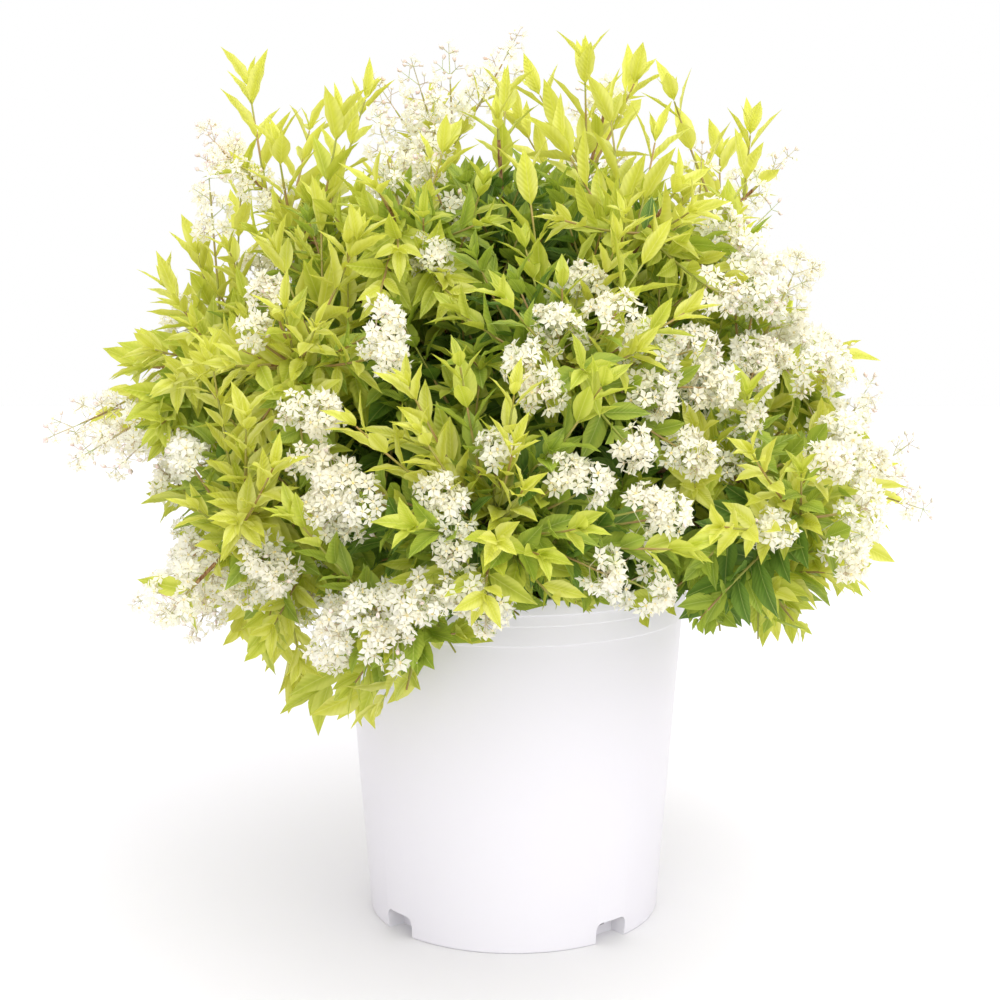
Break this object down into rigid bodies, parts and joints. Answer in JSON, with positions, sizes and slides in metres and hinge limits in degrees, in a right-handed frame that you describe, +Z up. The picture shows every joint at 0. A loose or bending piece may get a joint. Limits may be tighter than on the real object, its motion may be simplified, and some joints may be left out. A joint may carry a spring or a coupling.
{
  "type": "potted deutzia shrub",
  "caption": "Mounded deutzia shrub in full white blossom with lime foliage, in a plain white nursery pot that stands on its flat underside.",
  "frame": {"origin": "middle of the pot's flat underside", "axes": "+Z up, -Y towards the front that the picture shows, +X to its right"},
  "size_m": [0.6577, 0.6085, 0.6509],
  "materials": {
    "pot": "satin moulded white",
    "potting_mix": "rough, damp bark and peat",
    "bark": "thin flaking young bark",
    "foliage": "lime leaves and white blossom"
  },
  "bodies": {
    "root": {"pot": "pot", "soil": "potting_mix", "root_crown": "bark", "cane_top_1": "bark", "cane_top_2": "bark", "cane_top_3": "bark", "cane_leader_1": "bark", "cane_leader_2": "bark", "cane_leader_3": "bark", "cane_leader_4": "bark", "cane_leader_5": "bark", "cane_leader_6": "bark", "cane_shoulder_1": "bark", "cane_shoulder_2": "bark", "cane_shoulder_3": "bark", "cane_shoulder_4": "bark", "cane_shoulder_5": "bark", "cane_shoulder_6": "bark", "cane_shoulder_7": "bark", "cane_side_1": "bark", "cane_side_2": "bark", "cane_side_3": "bark", "cane_side_4": "bark", "cane_side_5": "bark", "cane_side_6": "bark", "cane_side_7": "bark", "cane_skirt_1": "bark", "cane_skirt_2": "bark", "cane_skirt_3": "bark", "cane_skirt_4": "bark", "cane_skirt_5": "bark", "foliage_top_1": "foliage", "foliage_top_2": "foliage", "foliage_top_3": "foliage", "foliage_leader_1": "foliage", "foliage_leader_2": "foliage", "foliage_leader_3": "foliage", "foliage_leader_4": "foliage", "foliage_leader_5": "foliage", "foliage_leader_6": "foliage", "foliage_shoulder_1": "foliage", "foliage_shoulder_2": "foliage", "foliage_shoulder_3": "foliage", "foliage_shoulder_4": "foliage", "foliage_shoulder_5": "foliage", "foliage_shoulder_6": "foliage", "foliage_shoulder_7": "foliage", "foliage_side_1": "foliage", "foliage_side_2": "foliage", "foliage_side_3": "foliage", "foliage_side_4": "foliage", "foliage_side_5": "foliage", "foliage_side_6": "foliage", "foliage_side_7": "foliage", "foliage_skirt_1": "foliage", "foliage_skirt_2": "foliage", "foliage_skirt_3": "foliage", "foliage_skirt_4": "foliage", "foliage_skirt_5": "foliage"}
  },
  "joints": []
}
